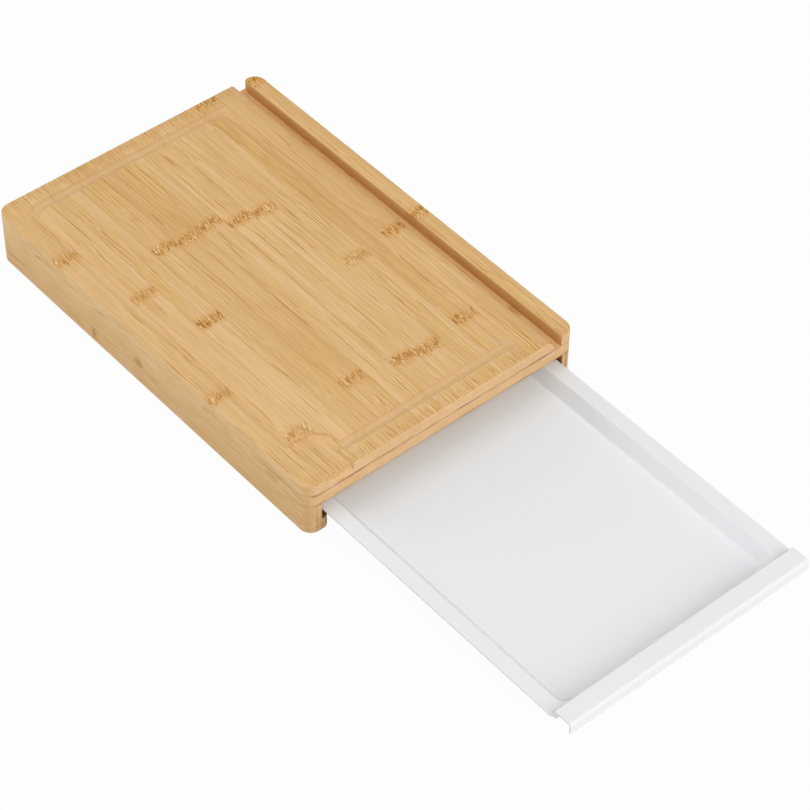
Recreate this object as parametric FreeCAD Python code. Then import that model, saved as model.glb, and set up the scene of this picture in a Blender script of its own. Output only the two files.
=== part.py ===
import FreeCAD, Part
import math
import os

# Bamboo cutting board on side rails, with a moulded tray that slides out from under it.
# X runs along the board to the mouth, the short end where the tray comes out. Y runs across it,
# from the plain left side to the right side with the slot. Z is up. The origin is on the table,
# under the middle of the whole object with its tray pulled out. All sizes are in millimetres.

# ---- the board in plan ----
board_length = 380.0
board_width = 255.0
plan_corner = 10.0          # rounding of the stack's four corners, seen from above
edge_round = 1.8            # soft edge round the cutting surface and the strip

# ---- the layers, from the table up ----
foot_stand = 1.0            # the feet hold the rails this far off the table
rail_height = 29.0
deck_thickness = 10.5
top_thickness = 10.5
under_round = 2.2           # the rails' lower edges

# ---- slot along the right side, between the top board and the strip ----
strip_width = 14.0
slot_width = 6.8            # at the slot's floor
slot_lead = 9.5             # radius that leads into the slot from the cutting surface

# ---- juice groove, cut with a round-nosed bit ----
groove_width = 10.5
groove_depth = 2.0
groove_from_end = 14.0      # both short ends, to the groove's outer edge
groove_from_left = 13.5
groove_from_slot = 23.2     # from the top board's slot side
groove_turn = 10.0          # centre line of the back left corner; the right ones turn square

# ---- pocket in the left corner at the mouth, where both ends of the groove run out ----
pocket_radius = 23.0
pocket_from_end = 23.0      # to its centre
pocket_from_left = 25.0
pocket_depth = 2.6
pocket_round = 2.0          # between its wall and its floor
pocket_land = 16.0          # wood left between the pocket and the end, beside the spout
spout_from_left = 17.5
spout_width = 24.5
spout_roll = 6.5            # the spout's floor rolls over the end of the board

# ---- rails: on each side a leg, an upstand and a ledge glued face to face, and one across the back ----
leg_thickness = 8.0
upstand_thickness = 4.5
ledge_thickness = 7.5
ledge_height = 20.0         # top of the ledge, above the rails' underside
notch_height = 12.6         # the ledge is cut down to this at the mouth, for the tray's lip
notch_length = 17.8
ledge_corner = 6.0          # inner corner of each ledge at the mouth, seen from above
end_rail_thickness = 8.0

# ---- tray ----
tray_out = 258.0            # how far the lip stands out of the mouth as drawn; 0 is shut
side_clearance = 1.3        # flange to upstand
slide_clearance = 0.25      # flange to ledge
stop_clearance = 1.2        # tray to end rail when shut
tray_wall = 1.5
flange_width = 12.0
flange_corner = 4.0
flange_round = 1.5          # where the flange turns down into the basin
basin_depth = 10.0          # flange top to floor
wall_run = 7.0              # how far the basin's walls lean in over that depth
front_land = 2.5            # flange left between the basin and the lip
basin_corner = 9.0          # the basin's corners at the flange, seen from above
floor_corner = 7.0          # the same at the floor
floor_round = 1.5           # between the walls and the floor
lip_depth = 16.4
lip_rise = 6.3              # lip top above the flange
lip_drop = 9.5              # lip top to the lower edge of its front panel
lip_lean = 0.5              # how far the front panel's lower edge stands out past its top
lip_inset = 1.0             # each end of the lip, in from the flange's side
lip_front_round = 2.5
lip_back_round = 1.0

# ---- feet ----
foot_diameter = 10.0
foot_recess = 1.0           # depth of their counterbores in the rails
foot_bore_gap = 0.2         # round the foot in its counterbore
foot_from_end = 22.0
foot_bevel = 0.4

# ---- places that follow from the sizes ----
x_back = -(board_length + tray_out) / 2
x_mouth = x_back + board_length
y_left = -board_width / 2
y_right = board_width / 2
y_strip = y_right - strip_width
y_slot = y_strip - slot_width
z_rail = foot_stand
z_deck = z_rail + rail_height
z_top = z_deck + deck_thickness
z_surface = z_top + top_thickness
z_ledge = z_rail + ledge_height
z_notch = z_rail + notch_height
recess_wall = leg_thickness + upstand_thickness
rail_width = recess_wall + ledge_thickness
over = 5.0                  # how far cutting tools run past what they cut
near = 1e-4                 # points closer than this are in the same place

X = FreeCAD.Vector(1, 0, 0)
Y = FreeCAD.Vector(0, 1, 0)
Z = FreeCAD.Vector(0, 0, 1)


def block(x0, x1, y0, y1, z0, z1):
    """Box between two opposite corners."""
    return Part.makeBox(x1 - x0, y1 - y0, z1 - z0, FreeCAD.Vector(x0, y0, z0))


def plan_wire(x0, x1, y0, y1, radii, z):
    """Rectangle at height z with its corners rounded one by one, anticlockwise from (x0, y0)."""
    corners = [(x0, y0), (x1, y0), (x1, y1), (x0, y1)]
    arriving = [-Y, X, Y, -X]
    leaving = [X, Y, -X, -Y]
    arc_starts = []
    arc_middles = []
    arc_ends = []
    for (x, y), radius, come, go in zip(corners, radii, arriving, leaving):
        corner = FreeCAD.Vector(x, y, z)
        centre = corner - come * radius + go * radius
        arc_starts.append(corner - come * radius)
        arc_middles.append(centre + (come - go) * (radius / math.sqrt(2)))
        arc_ends.append(corner + go * radius)
    edges = []
    for i, radius in enumerate(radii):
        if radius > 0:
            edges.append(Part.Arc(arc_starts[i], arc_middles[i], arc_ends[i]).toShape())
        following = arc_starts[(i + 1) % 4]
        if arc_ends[i].distanceToPoint(following) > near:
            edges.append(Part.LineSegment(arc_ends[i], following).toShape())
    return Part.Wire(edges)


def prism(x0, x1, y0, y1, radii, z0, z1):
    """Upright block over such a rectangle."""
    return Part.Face(plan_wire(x0, x1, y0, y1, radii, z0)).extrude(Z * (z1 - z0))


def edges_where(shape, wanted):
    """Edges of a shape whose ends and middle all pass a test."""
    found = []
    for edge in shape.Edges:
        middle = edge.valueAt((edge.FirstParameter + edge.LastParameter) / 2)
        points = [vertex.Point for vertex in edge.Vertexes] + [middle]
        if all(wanted(point) for point in points):
            found.append(edge)
    return found


def edges_at_height(shape, z):
    """Edges that lie level at height z."""
    return edges_where(shape, lambda point: abs(point.z - z) < near)


# ---- top board ----

def top_blank():
    """The panel with its soft edges, before anything is routed into the cutting surface."""
    blank = prism(x_back, x_mouth, y_left, y_slot, [plan_corner, plan_corner, 0, 0], z_top, z_surface)
    soft = [edge for edge in edges_at_height(blank, z_surface) if edge.BoundBox.YMin < y_slot - near]
    blank = blank.makeFillet(edge_round, soft)
    y_axis = y_slot - slot_lead
    z_axis = z_surface - slot_lead
    corner = block(x_back - over, x_mouth + over, y_axis, y_slot + over, z_axis, z_surface + over)
    rod = Part.makeCylinder(slot_lead, board_length + 4 * over,
                            FreeCAD.Vector(x_back - 2 * over, y_axis, z_axis), X)
    return blank.cut(corner.cut(rod))


def groove_cutters():
    """Sweep of the round-nosed bit: rods along the straights, balls and a torus at the turns.

    The groove starts at the rim of the pocket, goes round by the back and the slot side, and comes
    down the mouth end to the pocket's rim again."""
    bit = (groove_width ** 2 / 4 + groove_depth ** 2) / (2 * groove_depth)
    z_bit = z_surface - groove_depth + bit
    half = groove_width / 2
    west = x_back + groove_from_end + half
    east = x_mouth - groove_from_end - half
    south = y_left + groove_from_left + half
    north = y_slot - groove_from_slot - half
    south_end = FreeCAD.Vector(x_mouth - pocket_from_end - pocket_radius, south, z_bit)
    south_turn = FreeCAD.Vector(west + groove_turn, south, z_bit)
    west_turn = FreeCAD.Vector(west, south + groove_turn, z_bit)
    north_west = FreeCAD.Vector(west, north, z_bit)
    north_east = FreeCAD.Vector(east, north, z_bit)
    east_end = FreeCAD.Vector(east, y_left + pocket_from_left + pocket_radius, z_bit)

    cutters = []
    for start, end in [(south_turn, south_end), (west_turn, north_west),
                       (north_west, north_east), (north_east, east_end)]:
        run = end - start
        cutters.append(Part.makeCylinder(bit, run.Length, start, run))
    for place in [south_end, north_west, north_east, east_end]:
        cutters.append(Part.makeSphere(bit, place))
    turn_centre = FreeCAD.Vector(west + groove_turn, south + groove_turn, z_bit)
    turn = Part.makeTorus(groove_turn, bit, turn_centre, Z, 0, 360, 90)
    turn.rotate(turn_centre, Z, 180)
    cutters.append(turn)
    return cutters


def pocket_cutter():
    """Shallow round dish, cut off straight towards the left side and the end of the board."""
    z_floor = z_surface - pocket_depth
    centre = FreeCAD.Vector(x_mouth - pocket_from_end, y_left + pocket_from_left, z_floor)
    dish = Part.makeCylinder(pocket_radius, pocket_depth + over, centre, Z)
    kept = block(centre.x - pocket_radius - over, x_mouth - pocket_land,
                 y_left + spout_from_left, centre.y + pocket_radius + over,
                 z_floor, z_surface + over)
    dish = dish.common(kept)
    return dish.makeFillet(pocket_round, edges_at_height(dish, z_floor))


def spout_cutter():
    """Channel from the pocket out through the end of the board, its floor rolling down the end."""
    z_floor = z_surface - pocket_depth
    y0 = y_left + spout_from_left
    x0 = x_mouth - pocket_from_end
    roll_start = FreeCAD.Vector(x_mouth - spout_roll, y0, z_floor)
    roll_end = FreeCAD.Vector(x_mouth, y0, z_floor - spout_roll)
    slant = spout_roll / math.sqrt(2)
    roll_middle = FreeCAD.Vector(x_mouth - spout_roll + slant, y0, z_floor - spout_roll + slant)
    outside_low = FreeCAD.Vector(x_mouth + over, y0, z_floor - spout_roll)
    outside_high = FreeCAD.Vector(x_mouth + over, y0, z_surface + over)
    inside_high = FreeCAD.Vector(x0, y0, z_surface + over)
    inside_low = FreeCAD.Vector(x0, y0, z_floor)
    outline = Part.Wire([
        Part.LineSegment(inside_low, roll_start).toShape(),
        Part.Arc(roll_start, roll_middle, roll_end).toShape(),
        Part.LineSegment(roll_end, outside_low).toShape(),
        Part.LineSegment(outside_low, outside_high).toShape(),
        Part.LineSegment(outside_high, inside_high).toShape(),
        Part.LineSegment(inside_high, inside_low).toShape()])
    channel = Part.Face(outline).extrude(Y * spout_width)
    floor_sides = [edge for edge in edges_at_height(channel, z_floor) if edge.BoundBox.YLength < near]
    return channel.makeFillet(pocket_round, floor_sides)


def make_top_board():
    board = top_blank()
    for cutter in groove_cutters() + [pocket_cutter(), spout_cutter()]:
        board = board.cut(cutter)
    return board


# ---- deck and strip ----

def make_deck():
    return prism(x_back, x_mouth, y_left, y_right, [plan_corner] * 4, z_deck, z_top)


def make_slot_strip():
    """Strip that stands up beside the slot; its back end is rounded off over its whole width."""
    back_inner = strip_width - plan_corner
    strip = prism(x_back, x_mouth, y_strip, y_right, [back_inner, 0, plan_corner, plan_corner],
                  z_top, z_surface)
    return strip.makeFillet(edge_round, edges_at_height(strip, z_surface))


# ---- rails ----

def foot_centres():
    """Name and place of each foot, on the middle line of its rail."""
    centres = {}
    for end, x in [("back", x_back + foot_from_end), ("mouth", x_mouth - foot_from_end)]:
        for side, y in [("left", y_left + rail_width / 2), ("right", y_right - rail_width / 2)]:
            centres["foot_" + end + "_" + side] = FreeCAD.Vector(x, y, 0)
    return centres


def rail_frame():
    """All the rails as one glued and machined U, open at the mouth, before they are told apart."""
    frame = prism(x_back, x_mouth, y_left, y_right, [plan_corner] * 4, z_rail, z_deck)
    bay_left = y_left + rail_width
    bay_right = y_right - rail_width
    frame = frame.cut(block(x_back + end_rail_thickness, x_mouth + over, bay_left, bay_right,
                            z_rail - over, z_deck + over))
    mouth_corners = edges_where(frame, lambda point: abs(point.x - x_mouth) < near
                                and min(abs(point.y - bay_left), abs(point.y - bay_right)) < near)
    frame = frame.makeFillet(ledge_corner, mouth_corners)
    frame = frame.makeFillet(under_round, edges_at_height(frame, z_rail))
    x_recess = x_back + end_rail_thickness
    frame = frame.cut(block(x_recess, x_mouth + over, y_left + recess_wall, y_right - recess_wall,
                            z_ledge, z_deck + over))
    frame = frame.cut(block(x_mouth - notch_length, x_mouth + over,
                            y_left + recess_wall, y_right - recess_wall, z_notch, z_ledge + over))
    bore_radius = foot_diameter / 2 + foot_bore_gap
    for centre in foot_centres().values():
        frame = frame.cut(Part.makeCylinder(bore_radius, foot_stand + foot_recess, centre, Z))
    return frame


def make_rails():
    """The seven rail pieces, cut out of the frame along their glue lines."""
    frame = rail_frame()
    x_start = x_back - over
    x_end = x_back + end_rail_thickness
    x_past = x_mouth + over
    y_leg = board_width / 2 - leg_thickness
    y_ledge = board_width / 2 - recess_wall
    y_out = board_width / 2 + over
    regions = {
        "left_leg": (x_start, x_past, -y_out, -y_leg),
        "left_upstand": (x_end, x_past, -y_leg, -y_ledge),
        "left_ledge": (x_end, x_past, -y_ledge, 0),
        "right_ledge": (x_end, x_past, 0, y_ledge),
        "right_upstand": (x_end, x_past, y_ledge, y_leg),
        "right_leg": (x_start, x_past, y_leg, y_out),
        "end_rail": (x_start, x_end, -y_leg, y_leg),
    }
    pieces = {}
    for name, (x0, x1, y0, y1) in regions.items():
        pieces[name] = frame.common(block(x0, x1, y0, y1, z_rail - over, z_deck + over))
    return pieces


def make_foot(centre):
    """Round rubber foot with a bevelled rim, standing in its counterbore."""
    foot = Part.makeCylinder(foot_diameter / 2, foot_stand + foot_recess, centre, Z)
    return foot.makeChamfer(foot_bevel, edges_at_height(foot, 0))


# ---- tray ----

x_tray = x_back + end_rail_thickness + stop_clearance + tray_out
x_lip_front = x_mouth + tray_out
x_lip_back = x_lip_front - lip_depth
half_tray = board_width / 2 - recess_wall - side_clearance
z_flange_under = z_ledge + slide_clearance
z_flange = z_flange_under + tray_wall
z_floor = z_flange - basin_depth
z_lip = z_flange + lip_rise


def basin(grow, drop):
    """Tapered tub between the flange and the floor, grown sideways and lowered by given amounts."""
    x0 = x_tray + flange_width
    x1 = x_lip_back - front_land
    half = half_tray - flange_width
    rim = plan_wire(x0 - grow, x1 + grow, -half - grow, half + grow,
                    [basin_corner + grow] * 4, z_flange - drop)
    floor = plan_wire(x0 + wall_run - grow, x1 - wall_run + grow,
                      -half + wall_run - grow, half - wall_run + grow,
                      [floor_corner + grow] * 4, z_floor - drop)
    tub = Part.makeLoft([rim, floor], True, True)
    return tub.makeFillet(floor_round + drop, edges_at_height(tub, z_floor - drop))


def lip():
    """Inverted channel across the front: riser, top and leaning front panel, open below for fingers."""
    x_brow = x_lip_front - lip_lean
    x_riser = x_lip_back + tray_wall
    half = half_tray - lip_inset
    points = [(x_lip_back, z_flange_under), (x_lip_back, z_lip), (x_brow, z_lip),
              (x_lip_front, z_lip - lip_drop), (x_lip_front - tray_wall, z_lip - lip_drop),
              (x_brow - tray_wall, z_lip - tray_wall), (x_riser, z_lip - tray_wall),
              (x_riser, z_flange_under)]
    corners = [FreeCAD.Vector(x, -half, z) for x, z in points]
    channel = Part.Face(Part.makePolygon(corners + corners[:1])).extrude(Y * 2 * half)

    def along(x, z):
        return edges_where(channel, lambda point: abs(point.x - x) + abs(point.z - z) < near)

    channel = channel.makeFillet(lip_front_round, along(x_brow, z_lip))
    channel = channel.makeFillet(lip_front_round - tray_wall, along(x_brow - tray_wall, z_lip - tray_wall))
    return channel.makeFillet(lip_back_round, along(x_lip_back, z_lip))


def make_tray():
    """Thin moulding: flange, sloping basin under it, and the lip that is also its handle."""
    lean = math.atan2(wall_run, basin_depth)
    grow = tray_wall * (1 - math.sin(lean)) / math.cos(lean)
    flange = prism(x_tray, x_lip_back, -half_tray, half_tray, [flange_corner] * 4,
                   z_flange_under, z_flange)
    tray = flange.fuse([basin(grow, tray_wall), lip()])
    tray = tray.cut(basin(0, 0)).removeSplitter()
    rim = edges_where(tray, lambda point: abs(point.z - z_flange) < near
                      and abs(point.y) < half_tray - flange_width + near
                      and point.x > x_tray + flange_width - near
                      and point.x < x_lip_back - near)
    return tray.makeFillet(flange_round, rim)


def main():
    os.makedirs("parts", exist_ok=True)
    parts = {"top_board": make_top_board(), "deck": make_deck(), "slot_strip": make_slot_strip()}
    parts.update(make_rails())
    parts["tray"] = make_tray()
    for name, centre in foot_centres().items():
        parts[name] = make_foot(centre)
    for name, shape in parts.items():
        if not shape.isValid() or len(shape.Solids) != 1:
            raise ValueError(name + " isn't one valid solid")
        shape.exportStep("parts/" + name + ".step")


main()
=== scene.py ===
"""Bamboo cutting board with a sliding tray: finishes, fine surfaces, light and camera.

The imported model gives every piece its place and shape. This file dresses it: each bamboo piece gets
strips, fibres, cane joints and glue lines in its own grain direction, the tray gets a moulded
plastic finish and the feet a rubber one. Lengths in the properties are in metres. Inside the
materials they are in millimetres, measured from the board's back left corner on the table.
"""

import math
from collections import namedtuple

import bpy
from bpy.props import FloatProperty, FloatVectorProperty, PointerProperty
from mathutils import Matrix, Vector


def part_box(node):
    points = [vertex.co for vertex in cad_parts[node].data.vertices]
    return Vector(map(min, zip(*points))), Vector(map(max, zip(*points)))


bl_info = {
    "name": "Cutting Board With Sliding Tray",
    "version": (1, 0, 0),
    "blender": (4, 5, 0),
    "location": "3D View > Sidebar > Cutting Board",
    "description": "Finishes, fine surfaces, light and camera for a cutting board with a tray",
    "category": "Object",
}

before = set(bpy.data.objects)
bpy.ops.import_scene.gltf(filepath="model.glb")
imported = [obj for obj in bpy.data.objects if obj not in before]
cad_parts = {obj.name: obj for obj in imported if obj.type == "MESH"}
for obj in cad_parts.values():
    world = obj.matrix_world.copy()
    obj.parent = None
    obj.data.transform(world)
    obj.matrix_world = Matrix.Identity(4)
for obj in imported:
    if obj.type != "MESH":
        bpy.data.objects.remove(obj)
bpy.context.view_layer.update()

MM = 0.001
DECK_LOW, DECK_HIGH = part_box("deck")
TOP_LOW, TOP_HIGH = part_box("top_board")
LEG_LOW, LEG_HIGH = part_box("left_leg")
UPSTAND_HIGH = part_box("left_upstand")[1]

# The board, in millimetres.
BOARD_LENGTH = (DECK_HIGH.x - DECK_LOW.x) / MM
BOARD_WIDTH = (DECK_HIGH.y - DECK_LOW.y) / MM
SURFACE = TOP_HIGH.z / MM
TOP_GLUE = TOP_LOW.z / MM               # height of the glue line under the top board
DECK_GLUE = DECK_LOW.z / MM             # and of the one under the deck
LEG_GLUE = (LEG_HIGH.y - DECK_LOW.y) / MM           # where the rails' plies meet, from the side
UPSTAND_GLUE = (UPSTAND_HIGH.y - DECK_LOW.y) / MM
NOTCH_RISE = 12.6                       # floor of the notches, above the rails' underside
NOTCH_LENGTH = 17.8                     # how far they reach in from the mouth
GROOVE_INSIDE = 25.0                    # inner edge of the groove's cross runs, from either end
POCKET_EDGE = 47.0                      # the pocket's far edge, from the left side


# ---- properties ----

def colour(name, text, value):
    return FloatVectorProperty(name=name, description=text, subtype="COLOR", size=4,
                               min=0.0, max=1.0, default=(*value, 1.0))


def length(name, text, value):
    return FloatProperty(name=name, description=text, subtype="DISTANCE", unit="LENGTH",
                         min=0.0, default=value)


def amount(name, text, value, top=1.0):
    return FloatProperty(name=name, description=text, subtype="FACTOR", min=0.0, max=top,
                         default=value)


class BambooProperties(bpy.types.PropertyGroup):
    """Colours and sizes of the bamboo."""

    pale: colour("Pale", "Light wood between the fibres", (0.87, 0.58, 0.30))
    deep: colour("Deep", "Darker wood of the older bands", (0.68, 0.395, 0.135))
    fibre: colour("Fibre", "Fibre bundles that run along each strip", (0.50, 0.225, 0.05))
    golden: colour("Golden", "Warmer wood where the fibres gather", (0.80, 0.50, 0.17))
    # Node also colours painted shade: low on the sides and on slopes that face the mouth.
    node: colour("Node", "Short dark marks where the cane had a joint", (0.34, 0.118, 0.008))
    # Stain also colours the painted shade on the slot's wall.
    stain: colour("Stain", "Warm wood around the marks of a joint", (0.69, 0.345, 0.08))
    # Glue also colours painted shade: on the slot's wall, beside glue lines on the ends, and under
    # the deck's edge over the tray.
    glue: colour("Glue", "Thin line between two panels", (0.24, 0.09, 0.02))
    # Notch shade: painted shade in the notches and on the ledges' inner edges, under the tray and
    # deck.
    notch_shade: colour("Scorch", "Wood burnt by the cutter inside the notches", (0.20, 0.047, 0.007))
    end_grain: colour("End grain", "Wood cut across its fibres", (0.80, 0.53, 0.31))
    cut: colour("Cut", "Smooth wood in the groove and on the softened edges", (0.77, 0.50, 0.265))
    # Side is painted light: the upright sides are painted paler, standing in for the light on them.
    side: colour("Side", "Paler wood on the long sides", (0.90, 0.63, 0.335))
    glint: colour("Glint", "Pale lines beside the dark ones", (0.98, 0.76, 0.40))
    strip_width: length("Strip width", "Width of one bamboo strip in the panels", 0.02115)
    first_seam: length("First seam", "How far the first strip lies outside the left side", 0.0011)
    roughness: amount("Roughness", "Roughness of the sanded and oiled surface", 0.5)


class TrayProperties(bpy.types.PropertyGroup):
    """Finish of the moulded tray."""

    plastic: colour("Plastic", "White plastic", (0.888, 0.906, 0.924))
    shade: colour("Shade", "Plastic in the faint clouds and in the texture", (0.78, 0.80, 0.83))
    roughness: amount("Roughness", "Roughness of the satin plastic", 0.42)
    grain: length("Texture size", "Size of the fine moulded texture", 0.0012)
    cloud: length("Cloud size", "Size of the faint clouds in the plastic", 0.06)


class FootProperties(bpy.types.PropertyGroup):
    """Finish of the feet."""

    rubber: colour("Rubber", "Soft dark rubber", (0.045, 0.044, 0.042))
    dust: colour("Dust", "Dusty rubber, and rubber worn pale by the table", (0.16, 0.155, 0.15))
    roughness: amount("Roughness", "Roughness of the rubber", 0.8)
    grain: length("Texture size", "Size of the grain of the rubber", 0.0004)


class StageProperties(bpy.types.PropertyGroup):
    """Floor, light and camera."""

    floor: colour("Floor", "Plain pale floor", (0.76, 0.76, 0.76))
    floor_glow: amount("Floor white", "How much of the floor the camera sees as plain white", 0.96)
    floor_reach: length("Floor reach", "From the middle of the floor to its edges", 6.0)
    sky: amount("Sky", "Level of the light from all round", 0.36, 2.0)
    key: amount("Key", "Level of the lamp beyond the tray's end", 0.53, 2.0)
    top: amount("Top", "Level of the lamp above the back end", 0.15, 2.0)
    fill: amount("Fill", "Level of the low lamp by the back corner", 0.27, 2.0)
    lens: FloatProperty(name="Lens", description="Focal length on a 36 mm sensor, in millimetres",
                        min=10.0, default=130.479)


# ---- shader maths ----

class Signal:
    """A socket of a node tree. Expressions on signals and numbers add Math nodes to its tree."""

    def __init__(self, socket):
        self.socket = socket
        self.tree = socket.id_data

    @staticmethod
    def make(tree, kind, settings=None, inputs=None, output=0):
        """Add a node: its settings first, then the values or links of its sockets.

        Returns the wanted output, or nothing for a node without one."""
        made = tree.nodes.new(kind)
        settings = dict(settings or {})
        stops = settings.pop("stops", None)
        for name, value in settings.items():
            setattr(made, name, value)
        if stops:
            ramp = made.color_ramp
            ramp.interpolation = "CONSTANT"
            while len(ramp.elements) < len(stops):
                ramp.elements.new(1.0)
            for element, (position, value) in zip(ramp.elements, stops):
                element.position = position
                element.color = value
        for name, value in (inputs or {}).items():
            if isinstance(value, Signal):
                tree.links.new(value.socket, made.inputs[name])
            else:
                made.inputs[name].default_value = value
        return Signal(made.outputs[output]) if made.outputs else None

    def math(self, operation, *values):
        """A Math node on the given signals and numbers, in their order."""
        return Signal.make(self.tree, "ShaderNodeMath", {"operation": operation},
                           dict(enumerate(values)))

    def __add__(self, other):
        return self.math("ADD", self, other)

    def __radd__(self, other):
        return self.math("ADD", other, self)

    def __sub__(self, other):
        return self.math("SUBTRACT", self, other)

    def __rsub__(self, other):
        return self.math("SUBTRACT", other, self)

    def __mul__(self, other):
        return self.math("MULTIPLY", self, other)

    def __rmul__(self, other):
        return self.math("MULTIPLY", other, self)

    def __truediv__(self, other):
        return self.math("DIVIDE", self, other)

    def __rtruediv__(self, other):
        return self.math("DIVIDE", other, self)

    def __abs__(self):
        return self.math("ABSOLUTE", self)

    def parts(self, kind="ShaderNodeSeparateXYZ"):
        """The three parts of a vector, or of a colour."""
        separate = Signal.make(self.tree, kind, None, {0: self}).socket.node
        return [Signal(socket) for socket in separate.outputs]


def lesser(first, second):
    return first.math("MINIMUM", first, second)


def greater(first, second):
    return first.math("MAXIMUM", first, second)


def smooth(value, low, high):
    """0 below low, 1 above high, and a smooth S between. With low above high it falls instead."""
    return Signal.make(value.tree, "ShaderNodeMapRange",
                       {"interpolation_type": "SMOOTHSTEP", "clamp": True},
                       {"Value": value, "From Min": low, "From Max": high})


def vector(x, y, z):
    return Signal.make(x.tree, "ShaderNodeCombineXYZ", None, {"X": x, "Y": y, "Z": z})


def noise(place, detail=1.0, roughness=0.5):
    return Signal.make(place.tree, "ShaderNodeTexNoise", None,
                       {"Vector": place, "Scale": 1.0, "Detail": detail, "Roughness": roughness})


def mix(factor, first, second):
    """Colour between two colours."""
    first_socket, second_socket, colour_output = 6, 7, 2
    return Signal.make(factor.tree, "ShaderNodeMix", {"data_type": "RGBA"},
                       {0: factor, first_socket: first, second_socket: second}, colour_output)


def bump(height, strength, distance):
    """Fine relief from a height. The distance, in millimetres, is what a height of 1 stands for."""
    return Signal.make(height.tree, "ShaderNodeBump", None,
                       {"Strength": strength, "Distance": distance * MM, "Height": height})


def coordinates(tree):
    """Millimetres from the board's back left corner on the table, as three signals."""
    x, y, z = Signal.make(tree, "ShaderNodeTexCoord", None, None, "Object").parts()
    return (x - DECK_LOW.x) / MM, (y - DECK_LOW.y) / MM, z / MM


def new_material(name):
    """Material with an empty node tree."""
    material = bpy.data.materials.new(name)
    material.use_nodes = True
    material.node_tree.nodes.clear()
    return material, material.node_tree


# ---- bamboo ----

# Each strip of a panel, from the left side: where its first and second cane joints are, in
# millimetres from the back end, how deep its tone is and how strong the marks of its joints are. A
# joint far outside the board isn't seen.
FAR = 900.0
TOP_STRIPS = [
    (80, 266, 0.35, 0.7), (149, 332, 0.25, 0.4), (201, FAR, 0.30, 0.95), (118, FAR, 0.55, 0.7),
    (120, 315, 0.60, 0.6), (118, FAR, 0.40, 0.7), (129, 322, 0.35, 0.7), (132, 325, 0.25, 0.7),
    (218, FAR, 0.40, 0.3), (318, 3, 0.62, 0.8), (212, FAR, 0.50, 1.0), (212, FAR, 0.50, 1.0),
]
DECK_STRIPS = [
    (36, 287, 0.50, 0.8), (190, FAR, 0.40, 0.5), (95, 350, 0.60, 0.9), (255, FAR, 0.35, 0.6),
    (60, 301, 0.50, 0.7), (170, FAR, 0.40, 0.9), (222, FAR, 0.55, 0.5), (110, 340, 0.45, 0.8),
    (40, 280, 0.50, 0.6), (150, FAR, 0.40, 0.9), (20, 240, 0.60, 0.7), (85, 330, 0.40, 0.5),
    (300, FAR, 0.50, 0.8),
]
SLOT_STRIP = [(8, 210, 0.55, 1.0)]

# Each rail is one strip. Its seed moves it to another part of the same noise.
RAILS = {
    "left_leg": ((123, 180, 0.6, 0.8), 900.0),
    "right_leg": ((130, 318, 0.6, 0.8), 971.0),
    "left_upstand": ((170, 360, 0.6, 0.5), 1033.0),
    "right_upstand": ((60, 251, 0.6, 0.5), 1101.0),
    "left_ledge": ((105, 295, 0.6, 0.5), 1171.0),
    "right_ledge": ((20, 215, 0.6, 0.5), 1233.0),
    "end_rail": ((FAR, FAR, 0.6, 0.0), 1301.0),
}
NOTCHED = ("left_upstand", "right_upstand", "left_ledge", "right_ledge")
WHOLE_HEIGHT = 100.0                    # a strip this wide covers a rail from edge to edge
WHOLE_WIDTH = 400.0                     # and this one the board from side to side

# Dark flecks on the left side: place along the board, height, half length, half height, strength.
LEG_FLECKS = [(123, 11, 3.5, 6.0, 0.42), (180, 23, 6.0, 4.5, 0.48)]
DECK_FLECKS = [(54, 38.7, 4.5, 1.3, 0.5), (132, 39.2, 8.0, 1.0, 0.35), (262, 38.5, 5.0, 1.6, 0.3),
               (343, 37.4, 30.0, 1.1, 0.5), (338, 32.6, 9.0, 1.3, 0.45), (368, 35.0, 7.0, 1.3, 0.4)]

# Layers of noise: the length of their spots along the grain and their width across it, in
# millimetres, their height where that isn't the width, how far across they are shifted so that no
# two fall together, their detail and roughness, and the two levels between which they fade in.
Layer = namedtuple("Layer", "length width height shift detail roughness low high",
                   defaults=(None, 0.0, 1.0, 0.5, None, None))
LAYERS = {
    # How the fibres wander, and how they curl round a joint.
    "wander": Layer(70.0, 12.0),
    "curl": Layer(3.0, 3.5),
    # Tone of the wood, from wide to fine.
    "broad": Layer(120.0, 22.0),
    "band": Layer(170.0, 5.0, detail=2.0),
    "hair": Layer(45.0, 0.5, roughness=0.6),
    # Fibre lines, where they gather, the pale edge beside each, and fainter lines between them.
    "gather": Layer(85.0, 5.5, low=0.44, high=0.62),
    "line": Layer(62.0, 1.1, shift=90.0, low=0.57, high=0.64),
    "gleam": Layer(62.0, 1.1, shift=90.75, low=0.57, high=0.66),
    "pin": Layer(110.0, 0.8, shift=70.0, detail=0.0, low=0.52, high=0.66),
    "streak": Layer(90.0, 1.6, shift=40.0, detail=0.0, low=0.70, high=0.76),
    "soak": Layer(14.0, 0.9, low=0.50, high=0.62),
    # Marks of the cane joints: their ragged edge, where they are heavy, and their strokes.
    "ragged": Layer(5.0, 1.5),
    "heavy": Layer(40.0, 7.0, low=0.22, high=0.48),
    "stroke": Layer(9.0, 0.95, detail=0.0, low=0.46, high=0.56),
    "glint": Layer(6.0, 1.1, shift=40.0, detail=0.0, low=0.52, high=0.64),
    # Where a seam shows. Its width and height are parts of a strip's number.
    "seam": Layer(45.0, 1.0 / 5.3, 1.0 / 2.1, low=0.38, high=0.58),
    # Blotches of the sides, the end grain and the glue, which go on from strip to strip.
    "mottle": Layer(30.0, 8.0, 6.0, detail=2.0, roughness=0.6, low=0.36, high=0.64),
    "pores": Layer(5.0, 1.3, detail=2.0, roughness=0.6, low=0.40, high=0.66),
    "clouds": Layer(9.0, 12.0, 5.0, low=0.40, high=0.64),
    "patches": Layer(26.0, 26.0, 4.0, detail=2.0, low=0.44, high=0.62),
}


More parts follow.
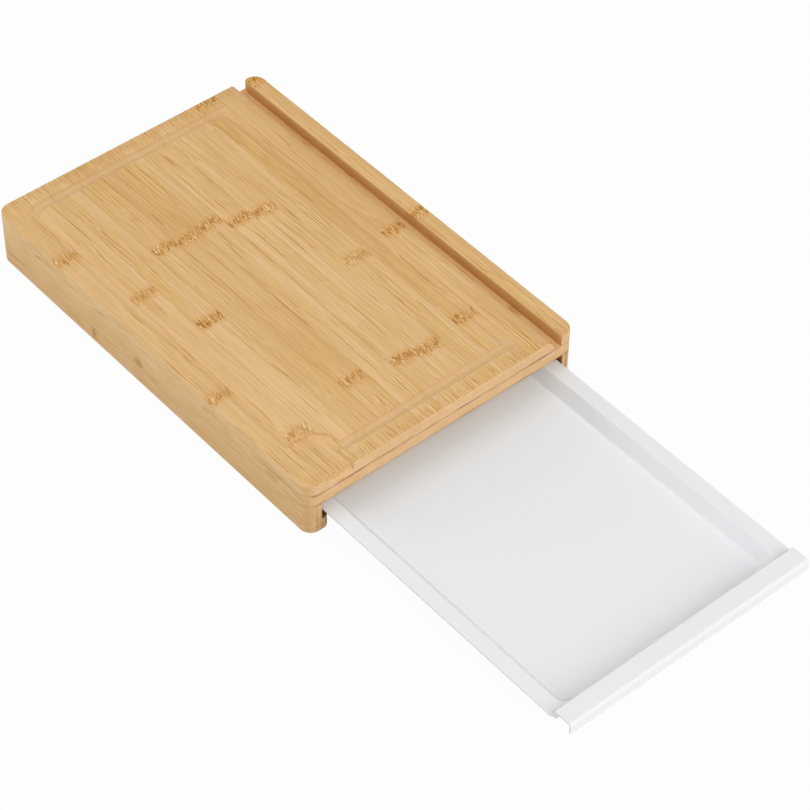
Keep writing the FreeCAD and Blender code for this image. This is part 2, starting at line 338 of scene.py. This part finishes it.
# How the fibres lie, in millimetres.
NEXT_ACROSS, NEXT_UP = 31.7, 17.3       # move through the noise from one strip to the next
WANDER = 5.0                            # how far fibres stray from a straight line
CURL = 2.2                              # how far they curl beside a joint
RAGGED = 13.0                           # how far the edges of a joint's marks stray
SLANT = 0.18                            # how far its strokes lean across, for each mm along

# Where things fade in: nothing at the first value and all of it at the second, in millimetres.
CURL_FADE = (16.0, 3.0)                 # curled fibres, from the joint
GATHER_FADE = (4.0, 24.0)               # gathered fibres, from the joint
STAIN_FADE = (9.5, 3.0)                 # warm stain, from the joint's ragged middle
GLINT_FADE = (7.0, 4.0)                 # pale strokes, from there
MARK_FADE = (5.4, 2.4)                  # dark strokes, from there
STEP_FADE = (-1.5, 1.5)                 # the other tone, past the joint
SEAM_FADE = (0.7, 0.1)                  # seam, from the line between two strips
SOAK_FADE = (13.0, 5.0)                 # darker fibres, from an end of the board
MOUTH_FADE = (300.0, 330.0)             # darker glue lines, from the back end
LEFT_FADE = (30.0, 10.0)                # flecks, from the left side
RIM_FADE = (2.5, 4.0)                   # routed wood, in from the board's rim
GLUE_SHADE = (2.4, 0.2)                 # painted shade on the ends, beside a glue line

# The same by depth below the cutting surface.
ROUTED_START = (0.2, 0.9)               # routed wood
ROUTED_END = (7.0, 4.0)                 # and where it ends again, below the spout
SIDE_MARKS = (3.0, 1.0)                 # full marks on the sides
SIDE_SHADE = (4.0, SURFACE - 8.0)         # painted shade, darker towards the bottom of the sides
END_LOW = (5.0, 22.0)                   # darker ends
WALL_FOOT = (2.0, 8.0)                  # deepest painted shade on the slot's wall

# The same by the part of a surface's normal along an axis.
END_ON = (0.75, 0.95)                   # end grain
UPRIGHT = (0.9, 0.5)                    # sides and ends
SLOPED = (0.15, 0.6)                    # slopes towards the mouth and its lamp, given painted shade
SLOT_WALL = (-0.5, -0.9)                # the slot's wall
TURNED_IN = (0.1, 0.5)                  # inner edge of a ledge


def layer(name, place):
    """One of the layers, at a place given along the grain, across it and up."""
    kind = LAYERS[name]
    along, across, up = place
    across = across / kind.width
    if kind.shift:
        across = across + kind.shift
    spots = noise(vector(along / kind.length, across, up / (kind.height or kind.width)),
                  kind.detail, kind.roughness)
    return spots if kind.high is None else smooth(spots, kind.low, kind.high)


def strip_table(strips, index):
    """Look up a strip's row by its number, through a ramp with one step for each strip."""
    stops = [(i / len(strips), (first / FAR, second / FAR, tone, marks))
             for i, (first, second, tone, marks) in enumerate(strips)]
    row = Signal.make(index.tree, "ShaderNodeValToRGB", {"stops": stops},
                      {0: (index + 0.5) / len(strips)})
    first, second, tone = row.parts("ShaderNodeSeparateColor")
    marks = Signal(row.socket.node.outputs["Alpha"])
    return first * FAR, second * FAR, tone, marks


class Bamboo:
    """A bamboo finish, painted layer on layer from the plain wood to its glue lines.

    The grain runs along X, or along Y where the piece lies crosswise. Strips are counted across the
    board, or up its height. Each has its own fibres, tone and cane joints. The fibres are noise
    drawn out along the grain, so a cut across them shows their ends."""

    def __init__(self, name, strips, pitch, shift=0.0, seed=0.0, upended=False, crosswise=False):
        self.look = bpy.context.scene.bamboo
        self.material, self.tree = new_material(name)
        self.find_surface(crosswise)
        self.lay_strips(strips, pitch, shift, seed, upended)

    def paint(self, share, colour_over):
        """Lay a colour over the wood so far, as thickly as its share says."""
        self.wood = mix(share, self.wood, colour_over)

    def find_surface(self, crosswise):
        """Where a point is, and what kind of surface it lies on, with X along the grain."""
        x, y, z = coordinates(self.tree)
        from_edge = lesser(lesser(x, BOARD_LENGTH - x), lesser(y, BOARD_WIDTH - y))
        normal = Signal.make(self.tree, "ShaderNodeTexCoord", None, None, "Normal")
        facing_x, facing_y, facing_z = normal.parts()
        if crosswise:
            x, y = y, x
            facing_x, facing_y = facing_y, facing_x
        self.x, self.y, self.z = x, y, z
        self.facing_x, self.facing_y = facing_x, facing_y
        self.from_mouth = BOARD_LENGTH - x
        self.from_end = lesser(x, self.from_mouth)
        self.sunk = SURFACE - z
        self.end_on = smooth(abs(facing_x), *END_ON)
        self.upright = smooth(abs(facing_z), *UPRIGHT)

        routed = smooth(self.sunk, *ROUTED_START) * smooth(self.sunk, *ROUTED_END)
        routed = routed * smooth(from_edge, *RIM_FADE)
        mouth_run = smooth(self.from_mouth, GROOVE_INSIDE + 2.0, GROOVE_INSIDE)
        mouth_run = mouth_run * smooth(y, POCKET_EDGE, POCKET_EDGE + 3.0)
        back_run = smooth(x, GROOVE_INSIDE + 2.0, GROOVE_INSIDE)
        self.routed = routed * (0.25 + 0.75 * greater(mouth_run, back_run))
        self.side = self.upright * (1.0 - self.end_on) * (1.0 - self.routed)

    def lay_strips(self, strips, pitch, shift, seed, upended):
        """Number the strips, look up their joints and tones, and bend their fibres."""
        x, y, z = self.x, self.y, self.z
        counted = ((z if upended else y) + shift) / pitch
        number = counted.math("FLOOR", counted)
        number = lesser(greater(number, 0.0), len(strips) - 1.0)
        within = counted.math("FRACT", counted)
        self.number = number
        self.from_seam = (0.5 - abs(within - 0.5)) * pitch
        self.first, second, self.tone, self.marks = strip_table(strips, number)
        self.from_joint = lesser(abs(x - self.first), abs(x - second))

        across = y + number * NEXT_ACROSS + seed
        up = z + number * NEXT_UP + seed
        bend = (layer("wander", (x, across, up)) - 0.5) * WANDER
        curl = (layer("curl", (x, across, up)) - 0.5) * CURL
        bend = bend + curl * smooth(self.from_joint, *CURL_FADE)
        self.across = across + bend
        self.up = up + bend

    def grain(self, name, slant=None):
        """A layer that follows the fibres, which differ from strip to strip."""
        across = self.across if slant is None else self.across + slant
        return layer(name, (self.x, across, self.up))

    def blotches(self, name):
        """A layer that goes on from strip to strip."""
        return layer(name, (self.x, self.y, self.z))

    def lay_tone(self, deeper):
        """Plain wood: wide and narrow bands, a step in tone at each joint, and fine fibres."""
        look = self.look
        self.hair = self.grain("hair") - 0.5
        calm = smooth(self.from_joint, *GATHER_FADE)
        self.busy = self.grain("gather") * (0.3 + 0.7 * calm)
        past_joint = smooth(self.x - self.first, *STEP_FADE)
        depth = 0.42 + deeper + (self.tone - 0.4) * 0.9
        depth = depth + (self.grain("band") - 0.5) * 0.8 + (self.grain("broad") - 0.5) * 0.9
        depth = depth + (0.5 - past_joint) * 0.24 * self.marks
        depth = depth + self.hair * (0.3 + 0.3 * calm + 1.6 * self.busy)
        self.wood = mix(lesser(greater(depth, 0.0), 1.3), look.pale, look.deep)
        self.paint(self.busy * 0.45, look.golden)
        # The sides painted paler as painted light, mottled with golden wood.
        self.paint(self.side * 0.7, mix(self.blotches("mottle") * 0.6, look.side, look.golden))
        # Painted shade: the sides darker towards the bottom.
        self.paint(self.side * smooth(self.sunk, *SIDE_SHADE) * 0.13, look.node)

    def draw_fibres(self):
        """Dark lines with a pale edge where the fibres gather, and fainter ones between them."""
        look = self.look
        self.line = self.grain("line") * (0.12 + 0.88 * self.busy)
        gleam = self.grain("gleam") * (0.15 + 0.85 * self.busy) * (1.0 - self.line)
        self.paint(self.grain("streak") * 0.35, look.deep)
        self.paint(gleam * 0.38, look.glint)
        self.paint(self.grain("pin") * (0.22 - 0.12 * self.side), look.fibre)
        self.paint(self.line * (0.64 - 0.2 * self.side), look.fibre)
        soaked = smooth(self.from_end, *SOAK_FADE) * (1.0 - self.upright)
        self.paint(soaked * self.grain("soak") * 0.5, look.fibre)

    def add_flecks(self, flecks):
        """Dark oval flecks on the left side."""
        left_side = self.side * smooth(self.y, *LEFT_FADE)
        for place, height, half_length, half_height, strength in flecks:
            along = (self.x - place) / half_length
            up = (self.z - height) / half_height
            fleck = smooth(along * along + up * up + self.hair * 0.8, 1.3, 0.2)
            self.paint(fleck * left_side * strength, self.look.node)

    def mark_joints(self):
        """Cane joints: slanting dark strokes with pale ones between them, in a warm stain."""
        ragged = self.from_joint + (self.grain("ragged") - 0.5) * RAGGED
        shown = 1.0 - 0.85 * self.upright * (1.0 - smooth(self.sunk, *SIDE_MARKS))
        stain = smooth(ragged, *STAIN_FADE) * shown * (0.35 + 0.5 * self.marks)
        slant = (self.x - self.first) * SLANT
        stroke = self.grain("stroke", slant)
        heavy = self.marks * self.grain("heavy")
        mark = smooth(ragged, *MARK_FADE) * shown * stroke * (0.15 + 0.85 * heavy)
        glint = self.grain("glint", slant) * smooth(ragged, *GLINT_FADE) * (1.0 - stroke) * shown
        self.paint(stain, self.look.stain)
        self.paint(mark * 0.85, self.look.node)
        self.paint(glint * 0.6, self.look.glint)

    def draw_seams(self):
        """Broken thin lines where strip meets strip."""
        shown = layer("seam", (self.x, self.number, self.number))
        self.seam = smooth(self.from_seam, *SEAM_FADE) * shown * (1.0 - self.end_on)
        self.paint(self.seam * 0.5, self.look.fibre)

    def cut_wood(self):
        """Wood that a cutter or saw has laid open: groove, softened edges and end grain."""
        look = self.look
        self.paint(self.routed * 0.6, look.cut)
        # Painted shade on slopes that face the mouth and its lamp.
        shade_on_slopes = smooth(self.facing_x, *SLOPED) * (1.0 - self.end_on)
        self.paint(shade_on_slopes * (0.14 + 0.10 * self.routed), look.node)
        pores = self.blotches("pores") * 0.3 + (self.tone - 0.4) * 0.25
        self.clouds = self.blotches("clouds")
        cut_end = mix(pores, look.end_grain, look.fibre)
        darker = self.clouds * 0.3 + smooth(self.sunk, *END_LOW) * 0.2
        cut_end = mix(darker, cut_end, look.deep)
        self.paint(self.end_on * 0.8, cut_end)

    def paint_slot_wall_shade(self):
        """Painted shade on the slot's wall, which faces left, darker towards its foot. Returns where
        it is.
        """
        wall = smooth(self.facing_y, *SLOT_WALL)
        foot = smooth(self.sunk, *WALL_FOOT)
        self.paint(wall * 0.42, self.look.stain)
        self.paint(wall * (0.18 + 0.09 * foot), self.look.glue)
        return wall

    def paint_notch_shade(self):
        """Painted shade on the floor and back of the notch and on the turned inner edge."""
        notch_floor = LEG_LOW.z / MM + NOTCH_RISE
        inside = smooth(self.z, notch_floor - 0.6, notch_floor - 0.2)
        inside = inside * smooth(self.from_mouth, NOTCH_LENGTH + 2.2, NOTCH_LENGTH + 0.7)
        turned_in = smooth(abs(self.facing_y), *TURNED_IN) * smooth(self.from_mouth, 8.0, 5.0)
        painted_notch_shade = greater(inside * (1.0 - self.end_on) * 0.8, turned_in * 0.6)
        self.paint(painted_notch_shade, self.look.notch_shade)

    def glue_panels(self, levels, shown):
        """Glue lines between panels, by height and strength: patchy, and darkest on the ends."""
        look = self.look
        patches = self.blotches("patches")
        by_mouth = smooth(self.x, *MOUTH_FADE) * self.side
        # Where a level runs along an edge with no glue, as under the deck's edge over the tray, its
        # line is painted shade.
        for height, strength in levels:
            away = abs(self.z - height)
            width = 0.15 + 0.4 * patches + 0.2 * by_mouth + 0.4 * self.end_on
            dark = 0.06 + 0.45 * patches + 0.3 * by_mouth + 0.35 * self.end_on
            glue = smooth(away, width, width * 0.3) * self.upright * dark
            glue = glue * (strength + (1.0 - strength) * self.end_on)
            self.paint(glue * shown, look.glue)
            # Painted shade: a soft dark band beside each glue line on the ends.
            shade = smooth(away, *GLUE_SHADE) * (0.3 + 0.7 * self.clouds)
            self.paint(shade * self.end_on * 0.28, look.glue)

    def glue_plies(self):
        """Glue lines between the plies of the rails, on their ends, and widest by the slot."""
        by_slot = smooth(self.y, BOARD_WIDTH / 2.0, 200.0)
        dark = greater(0.3 + 0.6 * self.blotches("patches"), 0.85 * by_slot)
        for inset in (LEG_GLUE, UPSTAND_GLUE, BOARD_WIDTH - LEG_GLUE, BOARD_WIDTH - UPSTAND_GLUE):
            glue = smooth(abs(self.y - inset), 0.55 + 0.4 * by_slot, 0.15) * self.end_on
            self.paint(glue * dark, self.look.glue)

    def build(self, levels, deeper=0.0, flecks=(), slot_wall_shade=False, rail=False, notched=False):
        """Paint every layer in turn and return the material."""
        self.lay_tone(deeper)
        self.draw_fibres()
        self.add_flecks(flecks)
        self.mark_joints()
        self.draw_seams()
        self.cut_wood()
        # Painted shade on the slot's wall; the glue lines are left off it.
        off_wall = 1.0 - self.paint_slot_wall_shade() if slot_wall_shade else 1.0
        if notched:
            # Painted shade in the notch and on the ledge's inner edge.
            self.paint_notch_shade()
        self.glue_panels(levels, off_wall)
        if rail:
            self.glue_plies()
        return self.finish()

    def finish(self):
        """Close the material with its gloss and its fine relief."""
        relief = self.hair * 0.5 - self.line * 0.5 - self.seam * 0.5
        rough = self.look.roughness + self.hair * 0.18
        shader = Signal.make(self.tree, "ShaderNodeBsdfPrincipled", None,
                             {"Base Color": self.wood, "Roughness": rough,
                              "Normal": bump(relief, 0.25, 0.04), "Specular IOR Level": 0.2})
        Signal.make(self.tree, "ShaderNodeOutputMaterial", None, {"Surface": shader})
        return self.material


def dress(names, material):
    """Give CAD nodes a finish."""
    for name in names:
        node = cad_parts[name]
        node.data.materials.clear()
        node.data.materials.append(material)


class CUTTINGBOARD_OT_panels(bpy.types.Operator):
    """Lay bamboo strips over the top board, the deck and the strip beside the slot."""

    bl_idname = "cutting_board.panels"
    bl_label = "Panels"

    def execute(self, context):
        look = context.scene.bamboo
        pitch = look.strip_width / MM
        shift = look.first_seam / MM
        top = Bamboo("bamboo_top", TOP_STRIPS, pitch, shift)
        dress(["top_board"], top.build([(TOP_GLUE, 1.0)]))
        deck = Bamboo("bamboo_deck", DECK_STRIPS, pitch, shift + pitch * 0.4, seed=211.0)
        # Under the deck the line is glue where the deck sits on the rails, and painted shade along
        # its edge over the tray's opening.
        dress(["deck"], deck.build([(TOP_GLUE, 1.0), (DECK_GLUE, 0.35)], flecks=DECK_FLECKS))
        strip = Bamboo("bamboo_strip", SLOT_STRIP, WHOLE_WIDTH, seed=507.0)
        dress(["slot_strip"], strip.build([(TOP_GLUE, 1.0)], slot_wall_shade=True))
        return {"FINISHED"}


class CUTTINGBOARD_OT_rails(bpy.types.Operator):
    """Lay bamboo over the legs, the upstands, the ledges and the rail across the back."""

    bl_idname = "cutting_board.rails"
    bl_label = "Rails"

    def execute(self, context):
        for name, (strip, seed) in RAILS.items():
            rail = Bamboo("bamboo_" + name, [strip], WHOLE_HEIGHT, seed=seed, upended=True,
                          crosswise=name == "end_rail")
            material = rail.build([(DECK_GLUE, 0.35)], deeper=0.3, rail=True,
                                  flecks=LEG_FLECKS if name == "left_leg" else (),
                                  notched=name in NOTCHED)
            dress([name], material)
        return {"FINISHED"}


# ---- tray and feet ----

class CUTTINGBOARD_OT_tray(bpy.types.Operator):
    """Give the tray its white plastic, with a fine moulded texture."""

    bl_idname = "cutting_board.tray"
    bl_label = "Tray"

    def execute(self, context):
        look = context.scene.tray
        material, tree = new_material("tray_plastic")
        x, y, z = coordinates(tree)
        size = look.grain / MM
        grain = noise(vector(x / size, y / size, z / size), 2.0)
        size = look.cloud / MM
        cloud = noise(vector(x / size, y / size, z / size))
        plastic = mix(cloud * 0.06 + grain * 0.03, look.plastic, look.shade)
        rough = look.roughness + (grain - 0.5) * 0.12
        shader = Signal.make(tree, "ShaderNodeBsdfPrincipled", None,
                             {"Base Color": plastic, "Roughness": rough,
                              "Normal": bump(grain, 0.2, 0.02), "Specular IOR Level": 0.25})
        Signal.make(tree, "ShaderNodeOutputMaterial", None, {"Surface": shader})
        dress(["tray"], material)
        return {"FINISHED"}


class CUTTINGBOARD_OT_feet(bpy.types.Operator):
    """Give the four feet dark rubber, a little dusty and worn pale where they touch the table."""

    bl_idname = "cutting_board.feet"
    bl_label = "Feet"

    def execute(self, context):
        look = context.scene.feet
        material, tree = new_material("foot_rubber")
        x, y, z = coordinates(tree)
        size = look.grain / MM
        grain = noise(vector(x / size, y / size, z / size), 2.0)
        dust = smooth(grain, 0.5, 0.8) * 0.25 + smooth(z, 0.5, 0.0) * 0.2
        shader = Signal.make(tree, "ShaderNodeBsdfPrincipled", None,
                             {"Base Color": mix(dust, look.rubber, look.dust),
                              "Roughness": look.roughness, "Normal": bump(grain, 0.3, 0.03)})
        Signal.make(tree, "ShaderNodeOutputMaterial", None, {"Surface": shader})
        dress([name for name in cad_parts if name.startswith("foot_")], material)
        return {"FINISHED"}


# ---- stage ----

WHITE = (1.0, 1.0, 1.0, 1.0)

# Each lamp: the direction it stands in, its distance and the length of its side, in metres.
LAMPS = {
    "key": ((0.79, 0.0, 0.61), 4.0, 3.64),
    "top": ((-0.40, 0.05, 0.90), 3.0, 2.0),
    "fill": ((-0.74, -0.63, 0.24), 3.0, 1.6),
}
CAMERA_PLACE = (1.14319, -0.97903, 1.57866)
CAMERA_TURN = (43.7121, -0.6225, 49.6626)       # degrees about X, Y and Z
SENSOR_WIDTH = 36.0


def lamp(name, level, toward, distance, size):
    """Square soft lamp that lights a surface facing it, at the object, to the given level.

    The share of such a surface's sky that a square lamp fills is 4 / pi times s times atan(s),
    where s is the sine of the angle between the lamp's middle and the middle of its edge."""
    data = bpy.data.lights.new(name, "AREA")
    data.shape = "SQUARE"
    data.size = size
    sine = size / 2.0 / math.hypot(size / 2.0, distance)
    share = 4.0 / math.pi * sine * math.atan(sine)
    data.energy = level * math.pi * size ** 2 / share
    lit = bpy.data.objects.new(name, data)
    bpy.context.scene.collection.objects.link(lit)
    lit.location = Vector(toward).normalized() * distance
    lit.rotation_euler = lit.location.to_track_quat("Z", "Y").to_euler()


def seen_directly(tree):
    """1 for rays from the camera, and for those that gloss or glass sends on."""
    rays = Signal.make(tree, "ShaderNodeLightPath").socket.node.outputs
    camera, glossy, through = (Signal(rays[kind]) for kind in (
        "Is Camera Ray", "Is Glossy Ray", "Is Transmission Ray"))
    return greater(greater(camera, glossy), through)


def make_floor(look):
    """Plain floor, which the camera sees as nearly white under the object's shadow."""
    reach = look.floor_reach
    mesh = bpy.data.meshes.new("floor")
    mesh.from_pydata([(-reach, -reach, 0), (reach, -reach, 0), (reach, reach, 0),
                      (-reach, reach, 0)], [], [(0, 1, 2, 3)])
    floor = bpy.data.objects.new("floor", mesh)
    bpy.context.scene.collection.objects.link(floor)
    material, tree = new_material("floor")
    matt = Signal.make(tree, "ShaderNodeBsdfDiffuse", None, {"Color": look.floor})
    white = Signal.make(tree, "ShaderNodeEmission", None, {"Color": WHITE, "Strength": 1.0})
    mixed = Signal.make(tree, "ShaderNodeMixShader", None,
                        {0: seen_directly(tree) * look.floor_glow, 1: matt, 2: white})
    Signal.make(tree, "ShaderNodeOutputMaterial", None, {"Surface": mixed})
    mesh.materials.append(material)


def make_world(look):
    """Soft light from all round, which the camera sees as plain white."""
    world = bpy.data.worlds.new("surroundings")
    world.use_nodes = True
    tree = world.node_tree
    tree.nodes.clear()
    sky = Signal.make(tree, "ShaderNodeBackground", None, {"Color": WHITE, "Strength": look.sky})
    white = Signal.make(tree, "ShaderNodeBackground", None, {"Color": WHITE, "Strength": 1.0})
    mixed = Signal.make(tree, "ShaderNodeMixShader", None,
                        {0: seen_directly(tree), 1: sky, 2: white})
    Signal.make(tree, "ShaderNodeOutputWorld", None, {"Surface": mixed})
    bpy.context.scene.world = world


def make_camera(look):
    data = bpy.data.cameras.new("camera")
    data.sensor_width = SENSOR_WIDTH
    data.lens = look.lens
    camera = bpy.data.objects.new("camera", data)
    camera.location = CAMERA_PLACE
    camera.rotation_euler = [math.radians(angle) for angle in CAMERA_TURN]
    bpy.context.scene.collection.objects.link(camera)
    bpy.context.scene.camera = camera


class CUTTINGBOARD_OT_stage(bpy.types.Operator):
    """Set the floor, the soft lamps, the white surroundings and the camera."""

    bl_idname = "cutting_board.stage"
    bl_label = "Stage"

    def execute(self, context):
        look = context.scene.stage
        make_floor(look)
        make_world(look)
        for name, (toward, distance, size) in LAMPS.items():
            lamp(name, getattr(look, name), toward, distance, size)
        make_camera(look)
        context.scene.view_settings.view_transform = "Standard"
        return {"FINISHED"}


# ---- panel and registration ----

STEPS = (CUTTINGBOARD_OT_stage, CUTTINGBOARD_OT_panels, CUTTINGBOARD_OT_rails,
         CUTTINGBOARD_OT_tray, CUTTINGBOARD_OT_feet)
GROUPS = {"bamboo": BambooProperties, "tray": TrayProperties, "feet": FootProperties,
          "stage": StageProperties}


class CUTTINGBOARD_PT_build(bpy.types.Panel):
    """Sizes and finishes of the cutting board, and a button for each step."""

    bl_label = "Cutting Board"
    bl_idname = "CUTTINGBOARD_PT_build"
    bl_space_type = "VIEW_3D"
    bl_region_type = "UI"
    bl_category = "Cutting Board"

    def draw(self, context):
        for name, group in GROUPS.items():
            box = self.layout.box()
            box.label(text=name.capitalize())
            for prop in group.__annotations__:
                box.prop(getattr(context.scene, name), prop)
        for step in STEPS:
            self.layout.operator(step.bl_idname)


def register():
    for group in GROUPS.values():
        bpy.utils.register_class(group)
    for name, group in GROUPS.items():
        setattr(bpy.types.Scene, name, PointerProperty(type=group))
    for step in STEPS:
        bpy.utils.register_class(step)
    bpy.utils.register_class(CUTTINGBOARD_PT_build)


def unregister():
    bpy.utils.unregister_class(CUTTINGBOARD_PT_build)
    for step in reversed(STEPS):
        bpy.utils.unregister_class(step)
    for name, group in GROUPS.items():
        delattr(bpy.types.Scene, name)
        bpy.utils.unregister_class(group)


def main():
    register()
    for step in STEPS:
        family, name = step.bl_idname.split(".")
        getattr(getattr(bpy.ops, family), name)()


if __name__ == "__main__":
    main()
